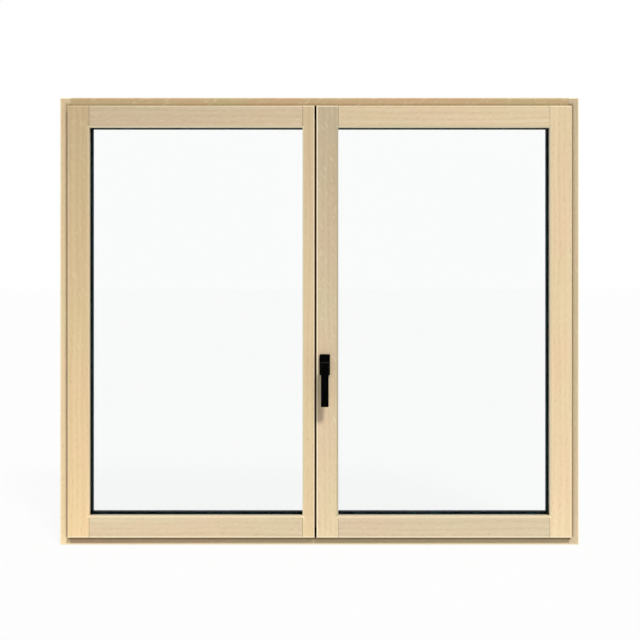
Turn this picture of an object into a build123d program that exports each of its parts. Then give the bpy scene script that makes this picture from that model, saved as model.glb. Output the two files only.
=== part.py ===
from build123d import *
from dataclasses import dataclass
import os

# Two-sash window in oak with an outdoor skin of aluminium. All sizes are in millimetres.
# X runs along the width and Z up. The indoor side faces -Y and the outdoor side +Y.
# The origin is at the middle of the frame's bottom face, halfway through the frame's depth.

# Outer frame
window_width = 1500.0
window_height = 1292.0
frame_depth = 68.0
frame_reveal = 24.5
frame_edge_round = 3.0

# Sashes
sash_depth = 68.0
sash_face = 63.0
lip_width = 17.0
lip_thickness = 18.0
lip_gap = 3.0
hardware_gap = 11.0
middle_seal_gap = 4.0
outer_part_depth = 26.0
outer_part_start = 34.0
outer_gap = 5.0
sash_edge_round = 3.0
glass_bevel = 5.0
overrun = 1.0
joint_groove_width = 0.8
joint_groove_depth = 0.8

# Meeting of the two sashes, where the right one closes over the left one
sight_line_half = 51.5
meeting_offset = 2.5
meeting_gap = 5.5
gap_block_clearance = 0.5
gap_block_thickness = 9.0
gap_block_top = 36.0
gap_block_bottom = 26.0

# Glazing, from the indoor side outwards
glass_rebate = 18.0
glass_stop_depth = 22.0
inner_gasket = 3.0
pane_thickness = 4.0
cavity = 14.0
outer_gasket = 5.0
glass_clearance = 5.0
spacer_height = 12.0
gasket_cover = 11.0
strip_corner_gap = 0.3
block_length = 100.0
block_inset = 70.0

# Seals between the frame and the sashes
overlap_seal_width = 4.5
overlap_seal_inset = 1.0
middle_seal_width = 6.0
seal_stem_width = 2.5
seal_stem_depth = 6.0

# Aluminium covers and their clips
sheet = 2.0
frame_cover_depth = 16.0
frame_cover_inset = 1.0
frame_cover_lap = 12.0
frame_cover_stand = 2.0
cover_fit = 0.3
sash_cover_depth = 23.0
sash_cover_inset = 2.0
sash_cover_stand = 2.0
cover_foot = 12.0
cover_edge_round = 1.2
clip_length = 30.0
clip_width = 6.0
broad_clip_width = 18.0
clip_spacing = 280.0
clip_end = 120.0

# Corner joints of the wood
tenon_thickness = 12.0
tenon_margin = 4.0
tenon_stop = 6.0

# Fixing holes through the jambs
fixing_hole_radius = 3.0
fixing_hole_y = -22.0
fixing_spacing = 510.0

# Drainage of the outer frame's bottom cover
weep_count = 3
weep_spacing = 420.0
weep_width = 28.0
weep_height = 6.0
weep_level = 16.0
weep_cap_width = 38.0
weep_cap_height = 12.0
weep_cap_depth = 6.0
weep_cap_wall = 1.2
weep_cap_slope = 3.0
weep_cap_round = 1.5

# Concealed hinges in the gap between frame and sash
hinge_length = 90.0
hinge_arm_length = 50.0
hinge_depth = 14.0
hinge_plate = 3.0
hinge_inset = 140.0

# Handle and the lock strip that it turns
handle_height = 523.0
handle_backset = 7.0
rosette_width = 30.0
rosette_height = 60.0
rosette_thickness = 10.0
rosette_round = 2.5
rosette_edge_round = 1.2
collar_radius = 9.0
collar_clearance = 0.05
collar_rise = 4.0
neck_radius = 8.0
grip_gap = 38.0
grip_width = 22.0
grip_thickness = 13.0
grip_end_thickness = 10.5
grip_drop = 117.0
grip_head = 11.0
grip_corner = 3.5
grip_round = 2.2
spindle_size = 7.0
spindle_hole_radius = 6.0
spindle_reach = 1.0
lock_strip_width = 16.0
lock_strip_thickness = 2.5
lock_strip_end = 80.0
lock_case_height = 120.0
lock_case_width = 14.0
lock_case_depth = 16.0
lock_cam_count = 4
lock_cam_radius = 4.0
lock_cam_length = 5.5
lock_cam_inset = 90.0
keep_height = 60.0
keep_width = 22.0
keep_thickness = 1.5
keep_leg = 7.0
keep_clearance = 1.0

# Depths along Y that follow from the sizes above
frame_front = -frame_depth / 2
frame_back = frame_depth / 2
lip_back = frame_front - lip_gap
sash_front = lip_back - lip_thickness
sash_back = sash_front + sash_depth
sash_step = sash_back - outer_part_depth
nose_front = sash_step + middle_seal_gap
glass_stop = sash_front + glass_stop_depth
glass_front = glass_stop + inner_gasket
glass_back = glass_front + 3 * pane_thickness + 2 * cavity
cover_seat = glass_back + outer_gasket
sash_cover_front = sash_back + sash_cover_depth
frame_cover_front = frame_back + frame_cover_depth

# Widths inwards from the frame's edge, or from the sash's edge
frame_rebate = frame_reveal + lip_width - hardware_gap
frame_nose = frame_reveal + outer_part_start - outer_gap
rebate_bottom = sash_face - glass_rebate
glass_edge = rebate_bottom + glass_clearance
far = 3000.0


@dataclass
class Ring:
    """Rectangle that members are measured inwards from."""

    left: float
    bottom: float
    right: float
    top: float


frame_ring = Ring(-window_width / 2, 0, window_width / 2, window_height)
sash_bottom = frame_reveal
sash_top = window_height - frame_reveal
meeting_edge = sash_face - sight_line_half
left_ring = Ring(-window_width / 2 + frame_reveal, sash_bottom, meeting_offset + meeting_edge, sash_top)
right_ring = Ring(meeting_offset - meeting_edge, sash_bottom, window_width / 2 - frame_reveal, sash_top)
sash_rings = {"left_sash": left_ring, "right_sash": right_ring}
lock_edge_x = right_ring.left + lip_width
spindle_x = lock_edge_x + handle_backset

SIDES = ("left", "top", "right", "bottom")
parts = {}


def add(name, *solids):
    """Keep solids under the name of their node."""
    parts.setdefault(name, []).extend(solids)


def side_plane(ring, side):
    """Plane at the start of a side: its x runs inwards, its y outdoors and its z along the side."""
    planes = {
        "left": Plane((ring.left, 0, ring.bottom), x_dir=(1, 0, 0), z_dir=(0, 0, 1)),
        "top": Plane((ring.left, 0, ring.top), x_dir=(0, 0, -1), z_dir=(1, 0, 0)),
        "right": Plane((ring.right, 0, ring.top), x_dir=(-1, 0, 0), z_dir=(0, 0, -1)),
        "bottom": Plane((ring.right, 0, ring.bottom), x_dir=(0, 0, 1), z_dir=(-1, 0, 0)),
    }
    return planes[side]


def side_length(ring, side):
    """Length of a side of the ring."""
    if side in ("left", "right"):
        return ring.top - ring.bottom
    return ring.right - ring.left


def outline(points, rounds=None):
    """Closed face from corner points, with a radius at the corners that rounds names."""
    rounds = rounds or {}
    if not rounds:
        return make_face(Polyline(*points, close=True))
    radii = [rounds.get(index, 0) for index in range(len(points))]
    return make_face(FilletPolyline(*points, radius=radii, close=True))


def rectangle(low, high, front, back):
    """Rectangular section between two widths and two depths."""
    return outline([(low, front), (high, front), (high, back), (low, back)])


def bar(face, ring, side, start=0.0, end=0.0):
    """Face extruded along a side, stopping short of its ends by start and end."""
    plane = side_plane(ring, side).offset(start)
    return extrude(plane * face, amount=side_length(ring, side) - start - end)


def block(ring, side, low, high):
    """Box along a side, from low to high in width, depth and length."""
    size = [high[i] - low[i] for i in range(3)]
    centre = Pos(*[(high[i] + low[i]) / 2 for i in range(3)])
    return side_plane(ring, side).location * centre * Box(*size)


def frame_outline():
    """Section of the outer frame: a rebate indoors and a nose behind the sash."""
    return outline(
        [
            (0, frame_front),
            (frame_rebate, frame_front),
            (frame_rebate, nose_front),
            (frame_nose, nose_front),
            (frame_nose, frame_back),
            (0, frame_back),
        ],
        {0: frame_edge_round},
    )


def frame_kept():
    """Everything inwards of the outer frame's outer faces, with its rounded indoor edge."""
    behind = frame_back + far
    return outline([(0, frame_front), (far, frame_front), (far, behind), (0, behind)], {0: frame_edge_round})


def frame_fill():
    """Everything outwards of the frame section's inner faces."""
    return outline(
        [
            (-far, frame_front - far),
            (frame_rebate, frame_front - far),
            (frame_rebate, nose_front),
            (frame_nose, nose_front),
            (frame_nose, frame_back + far),
            (-far, frame_back + far),
        ]
    )


def sash_outer_steps():
    """Outer faces of a sash: lip, hardware rebate and outdoor part."""
    return [
        (0, sash_front),
        (0, lip_back),
        (lip_width, lip_back),
        (lip_width, sash_step),
        (outer_part_start, sash_step),
        (outer_part_start, sash_back),
    ]


def sash_outline():
    """Section of a sash member with its lip and glass rebate."""
    inner = [
        (rebate_bottom, sash_back),
        (rebate_bottom, glass_stop),
        (sash_face, glass_stop),
        (sash_face, sash_front),
    ]
    return outline(sash_outer_steps() + inner, {0: sash_edge_round})


def facing(width):
    """A width of the right sash's meeting stile, as the left one's stile measures it."""
    return 2 * meeting_edge - width


def passive_outline():
    """Section of the left sash's meeting stile, which the right sash closes over."""
    lip_edge = facing(-meeting_gap)
    face = facing(lip_width - hardware_gap)
    nose = facing(outer_part_start - outer_gap)
    return outline(
        [
            (lip_edge, sash_front),
            (lip_edge, frame_front),
            (face, frame_front),
            (face, nose_front),
            (nose, nose_front),
            (nose, sash_back),
            (rebate_bottom, sash_back),
            (rebate_bottom, glass_stop),
            (sash_face, glass_stop),
            (sash_face, sash_front),
        ],
        {0: sash_edge_round},
    )


def sash_kept():
    """Everything inwards of a sash section's outer faces."""
    return outline(
        sash_outer_steps() + [(far, sash_back), (far, sash_front)], {0: sash_edge_round}
    )


def sash_fill():
    """Everything outwards of a sash section's inner faces."""
    return outline(
        [
            (-far, sash_back + far),
            (rebate_bottom, sash_back + far),
            (rebate_bottom, glass_stop),
            (sash_face, glass_stop),
            (sash_face, sash_front - far),
            (-far, sash_front - far),
        ]
    )


def bevel_cutter(ring):
    """Shallow frustum that bevels the sash's edge round the glass, mitred in the corners."""
    faces = []
    for depth in (-glass_bevel, glass_bevel):
        inset = sash_face - (glass_bevel - depth)
        width = ring.right - ring.left - 2 * inset
        height = ring.top - ring.bottom - 2 * inset
        centre = ((ring.left + ring.right) / 2, sash_front + depth, (ring.top + ring.bottom) / 2)
        faces.append(Plane(centre, x_dir=(1, 0, 0), z_dir=(0, 1, 0)) * Rectangle(width, height))
    return loft(faces)


def tenon(ring, stile_side, rail_side, outer_face, inner_face, depth, height):
    """Blind tenon at one end of a rail, between the outer and inner faces of a stile."""
    length = side_length(ring, stile_side)
    at_start = rail_side == ("bottom" if stile_side == "left" else "top")
    low = height[0] if at_start else length - height[1]
    high = height[1] if at_start else length - height[0]
    start = outer_face + tenon_stop
    return block(ring, stile_side, (start, depth, low), (inner_face, depth + tenon_thickness, high))


def frame_tenons(stile_side, rail_side):
    """One tenon at each corner of the outer frame."""
    depth = (frame_front + nose_front - tenon_thickness) / 2
    height = (tenon_margin, frame_rebate - tenon_margin)
    return [tenon(frame_ring, stile_side, rail_side, 0, frame_rebate, depth, height)]


def sash_tenons(ring, stile_side, rail_side):
    """Two tenons at each corner of a sash, one behind the other."""
    passive = ring is left_ring and stile_side == "right"
    lip_edge = facing(-meeting_gap) if passive else 0
    base = lip_width + tenon_margin
    indoor_height = (base, sash_face - tenon_margin - glass_bevel)
    outdoor_height = (base, rebate_bottom - tenon_margin)
    indoor = sash_front + tenon_margin
    outdoor = sash_step - tenon_margin - tenon_thickness
    return [
        tenon(ring, stile_side, rail_side, lip_edge, sash_face, indoor, indoor_height),
        tenon(ring, stile_side, rail_side, lip_width, rebate_bottom, outdoor, outdoor_height),
    ]


def groove(ring, stile_side, width_at, face_y, reach):
    """Narrow channels on the indoor face along both joints of a stile."""
    half = joint_groove_width / 2
    channel = rectangle(
        width_at - half, width_at + half, face_y - joint_groove_depth, face_y + joint_groove_depth
    )
    length = side_length(ring, stile_side)
    return [
        bar(channel, ring, stile_side, 0, length - reach),
        bar(channel, ring, stile_side, length - reach, 0),
    ]


def cut(solid, tools):
    """Take tools away from a solid one by one."""
    for tool in tools:
        solid = solid - tool
    return solid


def overlap_seal(part):
    """Section of the seal under a sash lip, or of its stem alone, as the groove has it."""
    low = overlap_seal_inset
    high = low + overlap_seal_width
    stem_low = (low + high - seal_stem_width) / 2
    stem_high = stem_low + seal_stem_width
    stem = rectangle(stem_low, stem_high, lip_back - seal_stem_depth, lip_back)
    return stem if part == "stem" else stem + rectangle(low, high, lip_back, frame_front)


def middle_seal(part, low):
    """Section of the seal on a nose, from the width low, or of its stem alone."""
    high = low + middle_seal_width
    stem_low = (low + high - seal_stem_width) / 2
    stem_high = stem_low + seal_stem_width
    stem = rectangle(stem_low, stem_high, nose_front, nose_front + seal_stem_depth)
    return stem if part == "stem" else stem + rectangle(low, high, sash_step, nose_front)


def lip_seals(name, part):
    """Strips of the seal under a sash's lips, on three sides of the left sash and on four of the right."""
    ring = sash_rings[name]
    face = overlap_seal(part)
    low = overlap_seal_inset
    high = low + overlap_seal_width
    if name == "right_sash":
        return strips(face, ring, low, high)
    passive = facing(-meeting_gap)
    level = high + strip_corner_gap
    return [
        bar(face, ring, "left", low, low),
        bar(face, ring, "top", level, passive),
        bar(face, ring, "bottom", passive, level),
    ]


def frame_nose_seals(part):
    """Strips of the middle seal round the frame's nose."""
    low = frame_nose - overlap_seal_inset - middle_seal_width
    return strips(middle_seal(part, low), frame_ring, low, low + middle_seal_width)


def meeting_nose_seal(part):
    """Middle seal on the nose of the left sash's meeting stile."""
    low = facing(outer_part_start - outer_gap - overlap_seal_inset)
    return bar(middle_seal(part, low), left_ring, "right", outer_part_start, outer_part_start)


def make_frame():
    """Jambs run the full height; head and sill sit between them on blind tenons."""
    seal_grooves = frame_nose_seals("stem")
    corners = {}
    for stile_side in ("left", "right"):
        for rail_side in ("top", "bottom"):
            corners[stile_side, rail_side] = frame_tenons(stile_side, rail_side)
    grooves = {}
    for side in ("left", "right"):
        grooves[side] = groove(frame_ring, side, frame_rebate, frame_front, frame_rebate)
    ends = [bar(frame_kept(), frame_ring, side, -far, -far) for side in ("top", "bottom")]
    for side in ("left", "right"):
        jamb = bar(frame_outline(), frame_ring, side) & ends[0] & ends[1]
        jamb = cut(jamb, corners[side, "top"] + corners[side, "bottom"] + grooves[side])
        jamb = cut(jamb, fixing_holes(side) + seal_grooves)
        add(f"frame_{side}_jamb", jamb)
    for side, name in (("top", "frame_head"), ("bottom", "frame_sill")):
        rail = bar(frame_outline(), frame_ring, side)
        for stile_side in ("left", "right"):
            rail = rail - bar(frame_fill(), frame_ring, stile_side, -far, -far)
        for stile_side in ("left", "right"):
            for tongue in corners[stile_side, side]:
                rail = rail + tongue
            rail = cut(rail, grooves[stile_side])
        add(name, cut(rail, seal_grooves))


def fixing_holes(side):
    """Three screw holes through a jamb, from the wall side to the rebate."""
    middle = side_length(frame_ring, side) / 2
    holes = []
    for step in (-1, 0, 1):
        centre = Pos(frame_rebate / 2, fixing_hole_y, middle + step * fixing_spacing)
        hole = Cylinder(fixing_hole_radius, frame_rebate, rotation=(0, 90, 0))
        holes.append(side_plane(frame_ring, side).location * centre * hole)
    return holes


def make_sash(name, ring):
    """Stiles run the full height; rails sit between them on blind double tenons."""
    meeting_side = "right" if name == "left_sash" else "left"
    outer_side = "left" if name == "left_sash" else "right"
    labels = {meeting_side: "meeting_stile", outer_side: "outer_stile"}
    bevel = bevel_cutter(ring)
    corners = {}
    for stile_side in ("left", "right"):
        for rail_side in ("top", "bottom"):
            corners[stile_side, rail_side] = sash_tenons(ring, stile_side, rail_side)
    grooves = {side: groove(ring, side, sash_face, sash_front, sash_face) for side in ("left", "right")}
    ends = [bar(sash_kept(), ring, side, -far, -far) for side in ("top", "bottom")]
    seal_grooves = lip_seals(name, "stem")
    for side in ("left", "right"):
        passive = name == "left_sash" and side == meeting_side
        stile = bar(passive_outline() if passive else sash_outline(), ring, side)
        for end in ends:
            stile = stile & end
        stile = cut(stile, corners[side, "top"] + corners[side, "bottom"] + grooves[side] + [bevel])
        stile = cut(stile, seal_grooves)
        if passive:
            stile = stile - meeting_nose_seal("stem")
        if name == "right_sash" and side == meeting_side:
            stile = cut(stile, lock_pockets())
        add(f"{name}_{labels[side]}", stile)
    for side in ("top", "bottom"):
        rail = bar(sash_outline(), ring, side)
        for stile_side in ("left", "right"):
            rail = rail - bar(sash_fill(), ring, stile_side, -far, -far)
        for stile_side in ("left", "right"):
            for tongue in corners[stile_side, side]:
                rail = rail + tongue
            rail = cut(rail, grooves[stile_side])
        add(f"{name}_{side}_rail", cut(rail, seal_grooves + [bevel]))


def lock_pockets():
    """Round hole for the spindle and a pocket for the lock case in the right meeting stile."""
    hole_length = sash_step - sash_front
    hole = Cylinder(spindle_hole_radius, hole_length, rotation=(90, 0, 0))
    return [
        Pos(spindle_x, sash_front + hole_length / 2, handle_height) * hole,
        lock_case_box(lock_edge_x - lock_strip_thickness),
    ]


def lock_case_box(start_x):
    """Box of the lock case, from start_x into the stile."""
    end_x = lock_edge_x + lock_case_width
    centre_y = (lip_back + sash_step) / 2
    return Pos((start_x + end_x) / 2, centre_y, handle_height) * Box(
        end_x - start_x, lock_case_depth, lock_case_height
    )


def make_glazing(name, ring):
    """Three panes, with spacers between them and a gasket on each side."""
    width = ring.right - ring.left - 2 * glass_edge
    height = ring.top - ring.bottom - 2 * glass_edge
    centre_x = (ring.left + ring.right) / 2
    centre_z = (ring.top + ring.bottom) / 2
    depth = glass_front
    for index, label in enumerate(("inner_pane", "middle_pane", "outer_pane")):
        pane = Pos(centre_x, depth + pane_thickness / 2, centre_z) * Box(width, pane_thickness, height)
        add(f"{name}_{label}", pane)
        depth += pane_thickness
        if index < 2:
            high = glass_edge + spacer_height
            spacer = rectangle(glass_edge, high, depth, depth + cavity)
            add(f"{name}_spacers", *strips(spacer, ring, glass_edge, high))
            depth += cavity
    lip = sash_face - gasket_cover
    inner = rectangle(lip, sash_face, glass_stop, glass_front)
    outer = rectangle(lip, sash_face, glass_back, cover_seat)
    add(f"{name}_inner_glazing_seal", *strips(inner, ring, lip, sash_face))
    add(f"{name}_outer_glazing_seal", *strips(outer, ring, lip, sash_face))


def strips(face, ring, low, high, sides=SIDES):
    """Straight strips round a ring: the upright ones run past the level ones."""
    solids = []
    for side in sides:
        start = low if side in ("left", "right") else high + strip_corner_gap
        solids.append(bar(face, ring, side, start, start))
    return solids


def make_blocks(ring):
    """Setting blocks under the glass and locating blocks above it."""
    for side in ("top", "bottom"):
        length = side_length(ring, side)
        for start in (glass_edge + block_inset, length - glass_edge - block_inset - block_length):
            low = (rebate_bottom, glass_front, start)
            high = (glass_edge, glass_back, start + block_length)
            add("glazing_blocks", block(ring, side, low, high))


def frame_cover_outline():
    """Channel over the outer frame: a lip at the wall side and a longer one round the nose."""
    edge = frame_nose + cover_fit
    back = frame_cover_front
    return outline(
        [
            (frame_cover_inset, frame_back + frame_cover_stand),
            (frame_cover_inset, back),
            (edge + sheet, back),
            (edge + sheet, frame_back - frame_cover_lap),
            (edge, frame_back - frame_cover_lap),
            (edge, back - sheet),
            (frame_cover_inset + sheet, back - sheet),
            (frame_cover_inset + sheet, frame_back + frame_cover_stand),
        ],
        {1: cover_edge_round, 2: cover_edge_round},
    )


def sash_cover_outline(outer):
    """Channel over a sash, from its outer leg to the foot that holds the glass."""
    back = sash_cover_front
    return outline(
        [
            (outer, sash_back + sash_cover_stand),
            (outer, back),
            (sash_face, back),
            (sash_face, cover_seat),
            (sash_face - cover_foot, cover_seat),
            (sash_face - cover_foot, cover_seat + sheet),
            (sash_face - sheet, cover_seat + sheet),
            (sash_face - sheet, back - sheet),
            (outer + sheet, back - sheet),
            (outer + sheet, sash_back + sash_cover_stand),
        ],
        {1: cover_edge_round, 2: cover_edge_round},
    )


def mitred(face, ring, side, low, high, corner_low):
    """Bar of a face with mitred ends, square past the corner at corner_low."""
    length = side_length(ring, side)
    solid = bar(face, ring, side, corner_low, corner_low)
    points = [
        (low, corner_low),
        (corner_low, corner_low),
        (high, high),
        (high, length - high),
        (corner_low, length - corner_low),
        (low, length - corner_low),
    ]
    if low == corner_low:
        points = points[1:-1]
    base = side_plane(ring, side)
    along = Plane(base.origin - base.y_dir * far, x_dir=base.x_dir, z_dir=base.y_dir)
    flipped = [(width, -run) for width, run in points]
    return solid & extrude(along * outline(flipped), amount=2 * far)


def make_covers():
    """Aluminium over the frame and over both sashes, mitred at the corners."""
    outer = frame_cover_inset
    inner = frame_nose + cover_fit + sheet
    for side in SIDES:
        cover = mitred(frame_cover_outline(), frame_ring, side, outer, inner, outer)
        if side == "bottom":
            cover = cut(cover, weep_slots())
        add(f"frame_cover_{side}", cover)
    outer = outer_part_start + sash_cover_inset
    for name, ring in sash_rings.items():
        for side in SIDES:
            low = outer
            if name == "left_sash" and side == "right":
                low = facing(outer_part_start - outer_gap) - frame_cover_inset
            cover = mitred(sash_cover_outline(low), ring, side, low, sash_face, outer)
            add(f"{name}_cover_{side}", cover)


def weep_slots():
    """Drainage slots through the bottom cover."""
    slots = []
    for index in range(weep_count):
        x = (index - (weep_count - 1) / 2) * weep_spacing
        centre = Pos(x, frame_cover_front - sheet / 2, weep_level)
        slots.append(centre * Box(weep_width, sheet + 2 * overrun, weep_height))
    return slots


def make_weep_caps():
    """Sloped hoods over the drainage slots, open at the bottom."""
    for index in range(weep_count):
        x = (index - (weep_count - 1) / 2) * weep_spacing
        add("weep_caps", hood(x, 0) - hood(x, weep_cap_wall))


def hood(x, wall):
    """Outside of a hood, or its hollow where a wall is left all round but at the bottom."""
    half = weep_cap_height / 2
    front = weep_cap_depth - wall
    below = half + (overrun if wall else 0)
    side_face = outline(
        [(0, -below), (0, half - wall), (front, half - wall - weep_cap_slope), (front, -below)],
        {2: weep_cap_round},
    )
    width = weep_cap_width - 2 * wall
    across = Plane((x - width / 2, frame_cover_front, weep_level), x_dir=(0, 1, 0), z_dir=(1, 0, 0))
    return extrude(across * side_face, amount=width)


def clip_places(length):
    """Places along a side, spread evenly between its ends."""
    count = max(2, round((length - 2 * clip_end) / clip_spacing) + 1)
    step = (length - 2 * clip_end) / (count - 1)
    return [clip_end + index * step for index in range(count)]


def clips(ring, side, low, width, wood_back, cover_back):
    """Clips along a side, each held between the wood and its cover."""
    for place in clip_places(side_length(ring, side)):
        start = (low, wood_back, place - clip_length / 2)
        end = (low + width, cover_back, place + clip_length / 2)
        add("cover_clips", block(ring, side, start, end))


def make_clips():
    """Broad clips on the frame and on the meeting stile, narrow ones on the other sash members."""
    sash_cover_back = sash_cover_front - sheet
    for side in SIDES:
        low = (frame_nose - broad_clip_width) / 2
        clips(frame_ring, side, low, broad_clip_width, frame_back, frame_cover_front - sheet)
    low = outer_part_start + sash_cover_inset + sheet
    for name, ring in sash_rings.items():
        for side in SIDES:
            if name == "right_sash" or side != "right":
                clips(ring, side, low, clip_width, sash_back, sash_cover_back)
    low = (facing(outer_part_start - outer_gap) + rebate_bottom - broad_clip_width) / 2
    clips(left_ring, "right", low, broad_clip_width, sash_back, sash_cover_back)


def make_seals():
    """Overlap seals under the lips, middle seals on the noses and blocks that close the meeting gap."""
    for name in sash_rings:
        add("overlap_seals", *lip_seals(name, "whole"))
    add("overlap_seals", *gap_blocks())
    add("middle_seals", *frame_nose_seals("whole"), meeting_nose_seal("whole"))


def gap_blocks():
    """Rubber blocks that close the top and the bottom of the gap between the two sashes."""
    width = meeting_gap - 2 * gap_block_clearance
    centre_x = right_ring.left - meeting_gap / 2
    centre_y = frame_front - gap_block_thickness / 2
    blocks = []
    for centre_z, height in (
        (sash_top - gap_block_top / 2, gap_block_top),
        (sash_bottom + gap_block_bottom / 2, gap_block_bottom),
    ):
        blocks.append(Pos(centre_x, centre_y, centre_z) * Box(width, gap_block_thickness, height))
    return blocks


def make_hinges():
    """Concealed hinges between the frame's rebate and each sash's outer stile."""
    centre_y = (lip_back + sash_step) / 2
    front = centre_y - hinge_depth / 2
    back = centre_y + hinge_depth / 2
    frame_side = frame_rebate
    sash_side = frame_rebate + hardware_gap
    for side in ("left", "right"):
        length = side_length(frame_ring, side)
        for place in (hinge_inset, length - hinge_inset):
            low = place - hinge_length / 2
            high = place + hinge_length / 2
            hinge = None
            for leaf in (frame_side, sash_side - hinge_plate):
                plate = block(frame_ring, side, (leaf, front, low), (leaf + hinge_plate, back, high))
                hinge = hinge + plate if hinge else plate
            arm_start = (frame_side, front + hinge_plate, place - hinge_arm_length / 2)
            arm_end = (sash_side, back - hinge_plate, place + hinge_arm_length / 2)
            add("concealed_hinges", hinge + block(frame_ring, side, arm_start, arm_end))


def make_lock():
    """Lock strip on the right sash's meeting edge with its case, its cams and the keeps across the gap."""
    bottom = sash_bottom + lock_strip_end
    top = sash_top - lock_strip_end
    centre_y = (lip_back + sash_step) / 2
    strip = Pos(lock_edge_x - lock_strip_thickness / 2, centre_y, (bottom + top) / 2) * Box(
        lock_strip_thickness, lock_strip_width, top - bottom
    )
    lock = strip + lock_case_box(lock_edge_x - lock_strip_thickness)
    bore_radius = spindle_size / 2 * 2**0.5 + collar_clearance
    bore = Cylinder(bore_radius, lock_case_depth + 2 * overrun, rotation=(90, 0, 0))
    lock = lock - Pos(spindle_x, centre_y, handle_height) * bore
    first = bottom + lock_cam_inset
    step = (top - lock_cam_inset - first) / (lock_cam_count - 1)
    cam_x = lock_edge_x - lock_strip_thickness - lock_cam_length / 2
    for index in range(lock_cam_count):
        cam = Cylinder(lock_cam_radius, lock_cam_length, rotation=(0, 90, 0))
        lock = lock + Pos(cam_x, centre_y, first + index * step) * cam
        add("lock_strip", keep(centre_y, first + index * step))
    add("lock_strip", lock)


def keep(cam_y, cam_z):
    """Angle on the left meeting stile with its leg on the indoor side of a cam."""
    face_x = lock_edge_x - hardware_gap
    leg_back = cam_y - lock_cam_radius - keep_clearance
    leg_front = leg_back - keep_thickness
    plate = Pos(face_x + keep_thickness / 2, leg_front + keep_width / 2, cam_z) * Box(
        keep_thickness, keep_width, keep_height
    )
    leg = Pos(face_x + keep_leg / 2, (leg_front + leg_back) / 2, cam_z) * Box(
        keep_leg, keep_thickness, keep_height
    )
    return plate + leg


def make_handle():
    """Plain base plate with a lever that hangs down and turns on a round collar."""
    spindle = Pos(spindle_x, 0, handle_height)
    plate_front = sash_front - rosette_thickness
    plate_centre = spindle * Pos(0, (sash_front + plate_front) / 2, 0)
    plate = plate_centre * Box(rosette_width, rosette_thickness, rosette_height)
    plate = fillet(plate.edges().filter_by(Axis.Y), rosette_round)
    plate = fillet(plate.faces().sort_by(Axis.Y)[0].edges(), rosette_edge_round)
    bore_length = rosette_thickness + 2 * overrun
    bore = Cylinder(collar_radius + collar_clearance, bore_length, rotation=(90, 0, 0))
    add("handle_plate", plate - plate_centre * bore)

    grip_back = sash_front - grip_gap
    neck_end = grip_back - grip_thickness / 2
    collar_front = plate_front - collar_rise
    collar = turned(spindle, collar_radius, sash_front - collar_clearance, collar_front)
    neck = turned(spindle, neck_radius, collar_front, neck_end)
    square_start = sash_front - spindle_reach
    square_end = (lip_back + sash_step) / 2 + lock_case_depth / 2
    square = spindle * Pos(0, (square_start + square_end) / 2, 0) * Box(
        spindle_size, square_end - square_start, spindle_size
    )
    add("handle_lever", collar + neck + grip_bar(spindle, grip_back) + square)


def turned(spindle, radius, back, front):
    """Round length of the lever on the spindle's line."""
    return spindle * Pos(0, (back + front) / 2, 0) * Cylinder(radius, back - front, rotation=(90, 0, 0))


def grip_bar(spindle, grip_back):
    """Grip with a flat front and a back that tapers towards its end, rounded on every edge."""
    grip_front = grip_back - grip_thickness
    side_face = outline(
        [
            (grip_back, grip_head),
            (grip_front, grip_head),
            (grip_front, -grip_drop),
            (grip_front + grip_end_thickness, -grip_drop),
        ],
        {0: grip_corner, 1: grip_corner, 2: grip_corner, 3: grip_corner},
    )
    across = Plane((-grip_width / 2, 0, 0), x_dir=(0, 1, 0), z_dir=(1, 0, 0))
    grip = extrude(across * side_face, amount=grip_width)
    sides = grip.faces().sort_by(Axis.X)
    edges = sides[0].edges() + sides[-1].edges()
    return spindle * fillet(edges, grip_round)


def export_parts():
    """Write one file for each node."""
    os.makedirs("parts", exist_ok=True)
    for name, shapes in parts.items():
        solids = [solid for shape in shapes for solid in shape.solids()]
        whole = solids[0] if len(solids) == 1 else Compound(solids)
        whole.label = name
        export_step(whole, f"parts/{name}.step")


make_frame()
make_covers()
make_weep_caps()
make_clips()
make_seals()
make_hinges()
make_lock()
for sash_name, sash_ring in sash_rings.items():
    make_sash(sash_name, sash_ring)
    make_glazing(sash_name, sash_ring)
    make_blocks(sash_ring)
make_handle()
export_parts()
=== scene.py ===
import math
from typing import NamedTuple

import bpy
from bpy.props import FloatProperty, FloatVectorProperty, PointerProperty
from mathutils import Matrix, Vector


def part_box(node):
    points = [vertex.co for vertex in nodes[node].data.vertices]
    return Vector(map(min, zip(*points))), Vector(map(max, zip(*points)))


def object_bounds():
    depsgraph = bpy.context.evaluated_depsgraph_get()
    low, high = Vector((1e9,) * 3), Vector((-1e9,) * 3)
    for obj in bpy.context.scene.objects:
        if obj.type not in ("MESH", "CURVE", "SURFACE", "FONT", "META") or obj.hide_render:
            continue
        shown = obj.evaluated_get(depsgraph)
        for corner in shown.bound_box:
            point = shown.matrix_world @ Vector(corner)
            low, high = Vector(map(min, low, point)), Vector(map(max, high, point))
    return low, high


bl_info = {
    "name": "Oak and Aluminium Window",
    "version": (1, 0, 0),
    "blender": (4, 5, 0),
    "location": "View3D > Sidebar > Window",
    "description": "Finishes a two-sash window of oak with aluminium covers and sets up its studio",
    "category": "Object",
}

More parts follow.
